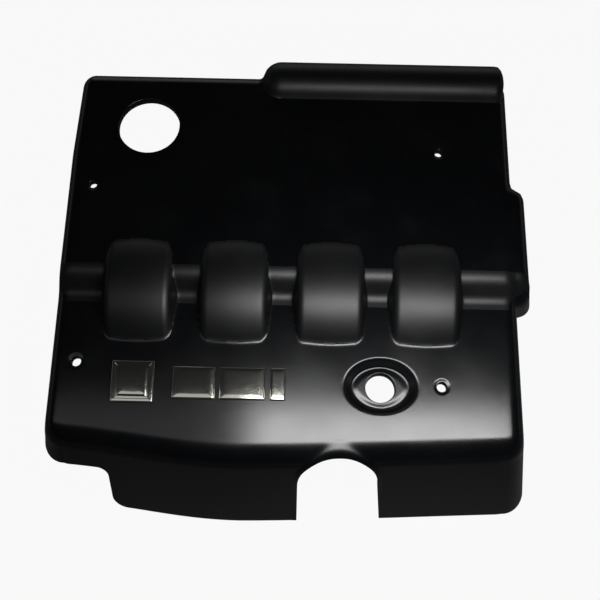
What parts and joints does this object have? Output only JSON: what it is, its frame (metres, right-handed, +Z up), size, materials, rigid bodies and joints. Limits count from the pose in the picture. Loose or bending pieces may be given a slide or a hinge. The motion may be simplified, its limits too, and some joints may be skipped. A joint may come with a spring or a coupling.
{
  "type": "engine cover",
  "caption": "Moulded plastic engine top cover with a stepped plate, rounded humps, a rear bulge, an arched front skirt, fixing holes and plain plated trim.",
  "frame": {"origin": "bottom centre of the bounding box, on the plane that the lower rim rests on", "axes": "+Z up, out of the visible top; +Y towards the rear edge with the bulge; +X to the right as seen from the front"},
  "size_m": [0.469, 0.4479, 0.13],
  "materials": {
    "shell": "fine-grained black moulding",
    "trim": "plated plastic"
  },
  "bodies": {
    "root": {"cover_shell": "shell", "badge_plate": "trim", "trim_block_left": "trim", "trim_block_middle": "trim", "trim_block_right": "trim"}
  },
  "joints": []
}
